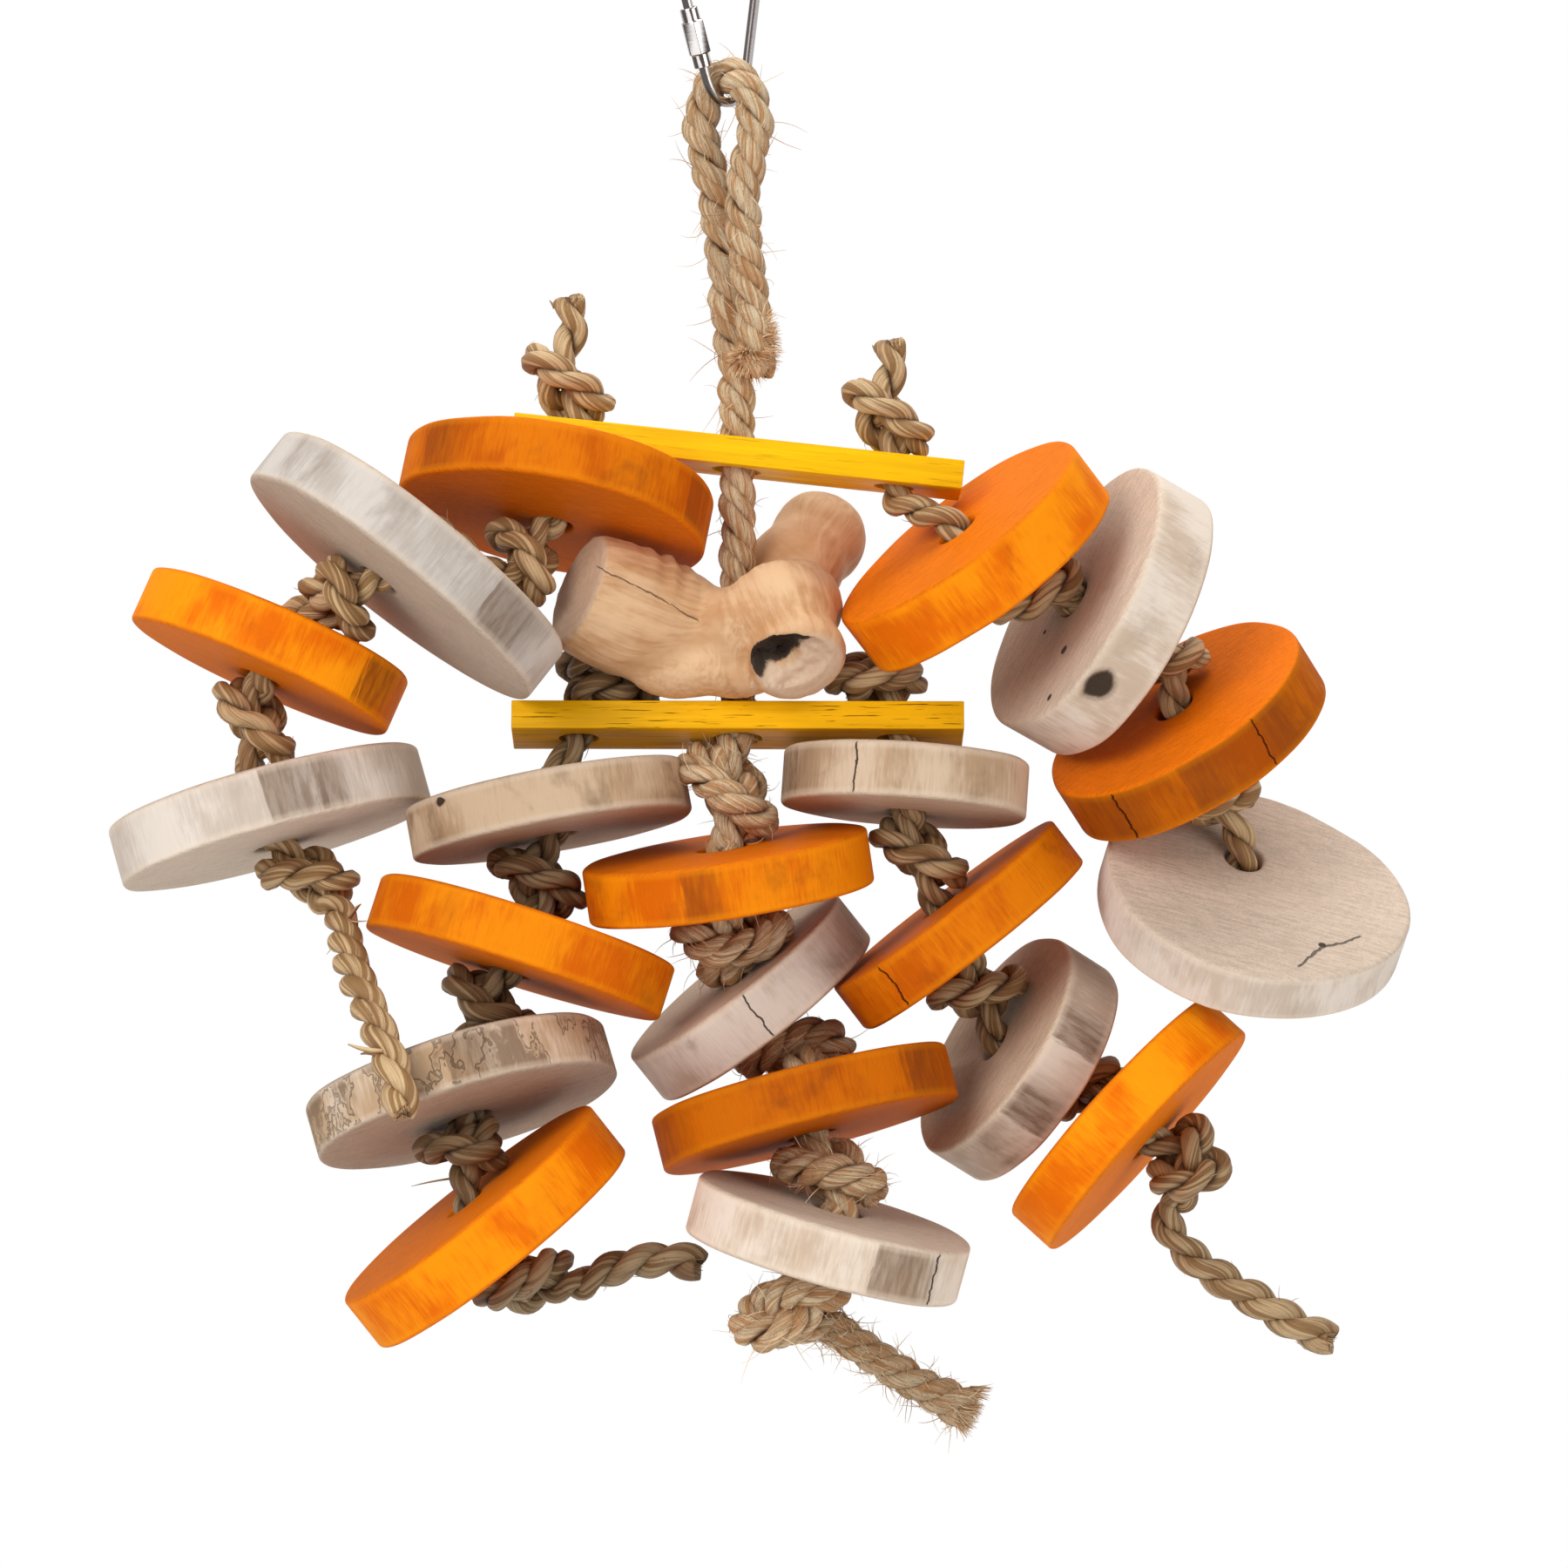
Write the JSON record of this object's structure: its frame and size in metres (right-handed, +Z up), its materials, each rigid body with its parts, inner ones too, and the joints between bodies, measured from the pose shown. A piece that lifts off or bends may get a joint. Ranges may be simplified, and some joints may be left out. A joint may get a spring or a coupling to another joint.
{
  "type": "hanging wooden parrot toy",
  "caption": "Hanging chew toy for parrots: knotted sisal and seagrass ropes carry orange and natural branch slices, yellow slats and a branch knuckle below a steel quick link.",
  "frame": {"origin": "inside the top of the steel link, where it hangs on a hook", "axes": "+Z up, -Y towards the front, +X to the right seen from the front"},
  "size_m": [0.3762, 0.1346, 0.44],
  "materials": {
    "steel": "polished",
    "yellow_wood": "dyed, satin",
    "bare_wood": "sanded, bare",
    "orange_wood": "dyed, matt",
    "natural_wood": "sawn, bare",
    "sisal": "three-strand natural fibre",
    "seagrass": "two-strand dried leaf"
  },
  "bodies": {
    "link_frame": {"link_frame": "steel"},
    "link_nut": {"link_nut": "steel"},
    "main_rope": {"main_rope": "sisal", "main_rope_tail": "sisal"},
    "upper_slat": {"upper_slat": "yellow_wood"},
    "knuckle": {"knuckle": "bare_wood"},
    "lower_slat": {"lower_slat": "yellow_wood"},
    "upper_left_rope": {"upper_left_rope": "seagrass", "upper_left_rope_tail": "seagrass"},
    "upper_right_rope": {"upper_right_rope": "seagrass"},
    "lower_left_rope": {"lower_left_rope": "seagrass", "lower_left_rope_tail": "seagrass"},
    "lower_right_rope": {"lower_right_rope": "seagrass", "lower_right_rope_tail": "seagrass"},
    "main_disc_1": {"main_disc_1": "orange_wood"},
    "main_disc_2": {"main_disc_2": "natural_wood"},
    "main_disc_3": {"main_disc_3": "orange_wood"},
    "main_disc_4": {"main_disc_4": "natural_wood"},
    "upper_left_disc_1": {"upper_left_disc_1": "orange_wood"},
    "upper_left_disc_2": {"upper_left_disc_2": "natural_wood"},
    "upper_left_disc_3": {"upper_left_disc_3": "orange_wood"},
    "upper_left_disc_4": {"upper_left_disc_4": "natural_wood"},
    "upper_right_disc_1": {"upper_right_disc_1": "orange_wood"},
    "upper_right_disc_2": {"upper_right_disc_2": "natural_wood"},
    "upper_right_disc_3": {"upper_right_disc_3": "orange_wood"},
    "upper_right_disc_4": {"upper_right_disc_4": "natural_wood"},
    "lower_left_disc_1": {"lower_left_disc_1": "natural_wood"},
    "lower_left_disc_2": {"lower_left_disc_2": "orange_wood"},
    "lower_left_disc_3": {"lower_left_disc_3": "natural_wood"},
    "lower_left_disc_4": {"lower_left_disc_4": "orange_wood"},
    "lower_right_disc_1": {"lower_right_disc_1": "natural_wood"},
    "lower_right_disc_2": {"lower_right_disc_2": "orange_wood"},
    "lower_right_disc_3": {"lower_right_disc_3": "natural_wood"},
    "lower_right_disc_4": {"lower_right_disc_4": "orange_wood"}
  },
  "joints": [
    {"name": "link_nut_slide", "type": "slide", "parent": "link_frame", "child": "link_nut", "axis": [-0.2447, -0.2123, 0.9461], "range_m": [0, 0.009]},
    {"name": "main_rope_swing", "type": "hinge", "parent": "link_frame", "child": "main_rope", "pos_m": [0.00408, 0, -0.05836], "axis": [0.6412, 0.766, 0.0448], "range_deg": [-30, 30]},
    {"name": "upper_slat_turn", "type": "hinge", "parent": "main_rope", "child": "upper_slat", "pos_m": [0.00698, 0, -0.15986], "axis": [0, 0, 1], "range_deg": [-2, 2]},
    {"name": "knuckle_turn", "type": "hinge", "parent": "main_rope", "child": "knuckle", "pos_m": [0.00698, 0, -0.23276], "axis": [0, 0, 1], "range_deg": [-2, 4]},
    {"name": "lower_slat_turn", "type": "hinge", "parent": "main_rope", "child": "lower_slat", "pos_m": [0.00698, 0, -0.23686], "axis": [0, 0, 1], "range_deg": [-2, 2]},
    {"name": "upper_left_rope_swing", "type": "hinge", "parent": "upper_slat", "child": "upper_left_rope", "pos_m": [-0.03828, 0, -0.1551], "axis": [1, 0, 0], "range_deg": [-2, 2]},
    {"name": "upper_right_rope_swing", "type": "hinge", "parent": "upper_slat", "child": "upper_right_rope", "pos_m": [0.05223, 0, -0.16462], "axis": [1, 0, 0], "range_deg": [-2, 2]},
    {"name": "lower_left_rope_swing", "type": "hinge", "parent": "lower_slat", "child": "lower_left_rope", "pos_m": [-0.03852, 0, -0.23686], "axis": [1, 0, 0], "range_deg": [-2, 2]},
    {"name": "lower_right_rope_swing", "type": "hinge", "parent": "lower_slat", "child": "lower_right_rope", "pos_m": [0.05248, 0, -0.23686], "axis": [1, 0, 0], "range_deg": [-2, 2]},
    {"name": "main_disc_1_spin", "type": "hinge", "parent": "main_rope", "child": "main_disc_1", "pos_m": [0.00368, -0.01, -0.27986], "axis": [0.147, 0.1045, -0.9836], "continuous": true},
    {"name": "main_disc_2_spin", "type": "hinge", "parent": "main_rope", "child": "main_disc_2", "pos_m": [0.01098, 0.02, -0.31486], "axis": [0.6165, 0.1392, -0.775], "continuous": true},
    {"name": "main_disc_3_spin", "type": "hinge", "parent": "main_rope", "child": "main_disc_3", "pos_m": [0.02578, -0.005, -0.34676], "axis": [0.2476, -0.1478, -0.9575], "continuous": true},
    {"name": "main_disc_4_spin", "type": "hinge", "parent": "main_rope", "child": "main_disc_4", "pos_m": [0.03348, -0.017, -0.38286], "axis": [-0.2578, 0.0872, -0.9623], "continuous": true},
    {"name": "upper_left_disc_1_spin", "type": "hinge", "parent": "upper_left_rope", "child": "upper_left_disc_1", "pos_m": [-0.04448, -0.003, -0.17181], "axis": [-0.183, -0.284, -0.9412], "continuous": true},
    {"name": "upper_left_disc_2_spin", "type": "hinge", "parent": "upper_left_rope", "child": "upper_left_disc_2", "pos_m": [-0.08927, -0.026, -0.18971], "axis": [-0.6054, -0.1822, -0.7748], "continuous": true},
    {"name": "upper_left_disc_3_spin", "type": "hinge", "parent": "upper_left_rope", "child": "upper_left_disc_3", "pos_m": [-0.12648, -0.002, -0.21591], "axis": [-0.3949, -0.1392, -0.9081], "continuous": true},
    {"name": "upper_left_disc_4_spin", "type": "hinge", "parent": "upper_left_rope", "child": "upper_left_disc_4", "pos_m": [-0.12907, 0.016, -0.26341], "axis": [0.2736, -0.1219, -0.9541], "continuous": true},
    {"name": "upper_right_disc_1_spin", "type": "hinge", "parent": "upper_right_rope", "child": "upper_right_disc_1", "pos_m": [0.07503, -0.011, -0.18832], "axis": [0.5961, 0.2504, -0.7629], "continuous": true},
    {"name": "upper_right_disc_2_spin", "type": "hinge", "parent": "upper_right_rope", "child": "upper_right_disc_2", "pos_m": [0.11143, 0.001, -0.20482], "axis": [0.827, 0.3256, -0.4584], "continuous": true},
    {"name": "upper_right_disc_3_spin", "type": "hinge", "parent": "upper_right_rope", "child": "upper_right_disc_3", "pos_m": [0.13643, 0.002, -0.23832], "axis": [0.5117, 0.3746, -0.7732], "continuous": true},
    {"name": "upper_right_disc_4_spin", "type": "hinge", "parent": "upper_right_rope", "child": "upper_right_disc_4", "pos_m": [0.15143, 0.015, -0.28082], "axis": [-0.2067, 0.6018, -0.7714], "range_deg": [-40, 20]},
    {"name": "lower_left_disc_1_spin", "type": "hinge", "parent": "lower_left_rope", "child": "lower_left_disc_1", "pos_m": [-0.04652, 0.0015, -0.26136], "axis": [0.1809, -0.1219, -0.9759], "continuous": true},
    {"name": "lower_left_disc_2_spin", "type": "hinge", "parent": "lower_left_rope", "child": "lower_left_disc_2", "pos_m": [-0.05602, -0.0025, -0.30036], "axis": [-0.2985, -0.1219, -0.9466], "continuous": true},
    {"name": "lower_left_disc_3_spin", "type": "hinge", "parent": "lower_left_rope", "child": "lower_left_disc_3", "pos_m": [-0.07202, 0.0055, -0.34236], "axis": [0.2831, -0.2504, -0.9258], "continuous": true},
    {"name": "lower_left_disc_4_spin", "type": "hinge", "parent": "lower_left_rope", "child": "lower_left_disc_4", "pos_m": [-0.06552, -0.009, -0.38036], "axis": [0.6123, 0.1045, -0.7837], "continuous": true},
    {"name": "lower_right_disc_1_spin", "type": "hinge", "parent": "lower_right_rope", "child": "lower_right_disc_1", "pos_m": [0.05548, -0.004, -0.25386], "axis": [-0.0692, -0.1305, -0.989], "continuous": true},
    {"name": "lower_right_disc_2_spin", "type": "hinge", "parent": "lower_right_rope", "child": "lower_right_disc_2", "pos_m": [0.06978, 0.004, -0.29486], "axis": [0.6079, 0.0523, -0.7923], "continuous": true},
    {"name": "lower_right_disc_3_spin", "type": "hinge", "parent": "lower_right_rope", "child": "lower_right_disc_3", "pos_m": [0.08798, 0.018, -0.33286], "axis": [0.7974, 0.3256, -0.508], "continuous": true},
    {"name": "lower_right_disc_4_spin", "type": "hinge", "parent": "lower_right_rope", "child": "lower_right_disc_4", "pos_m": [0.11898, 0.003, -0.35186], "axis": [0.7319, -0.1736, -0.659], "continuous": true}
  ]
}
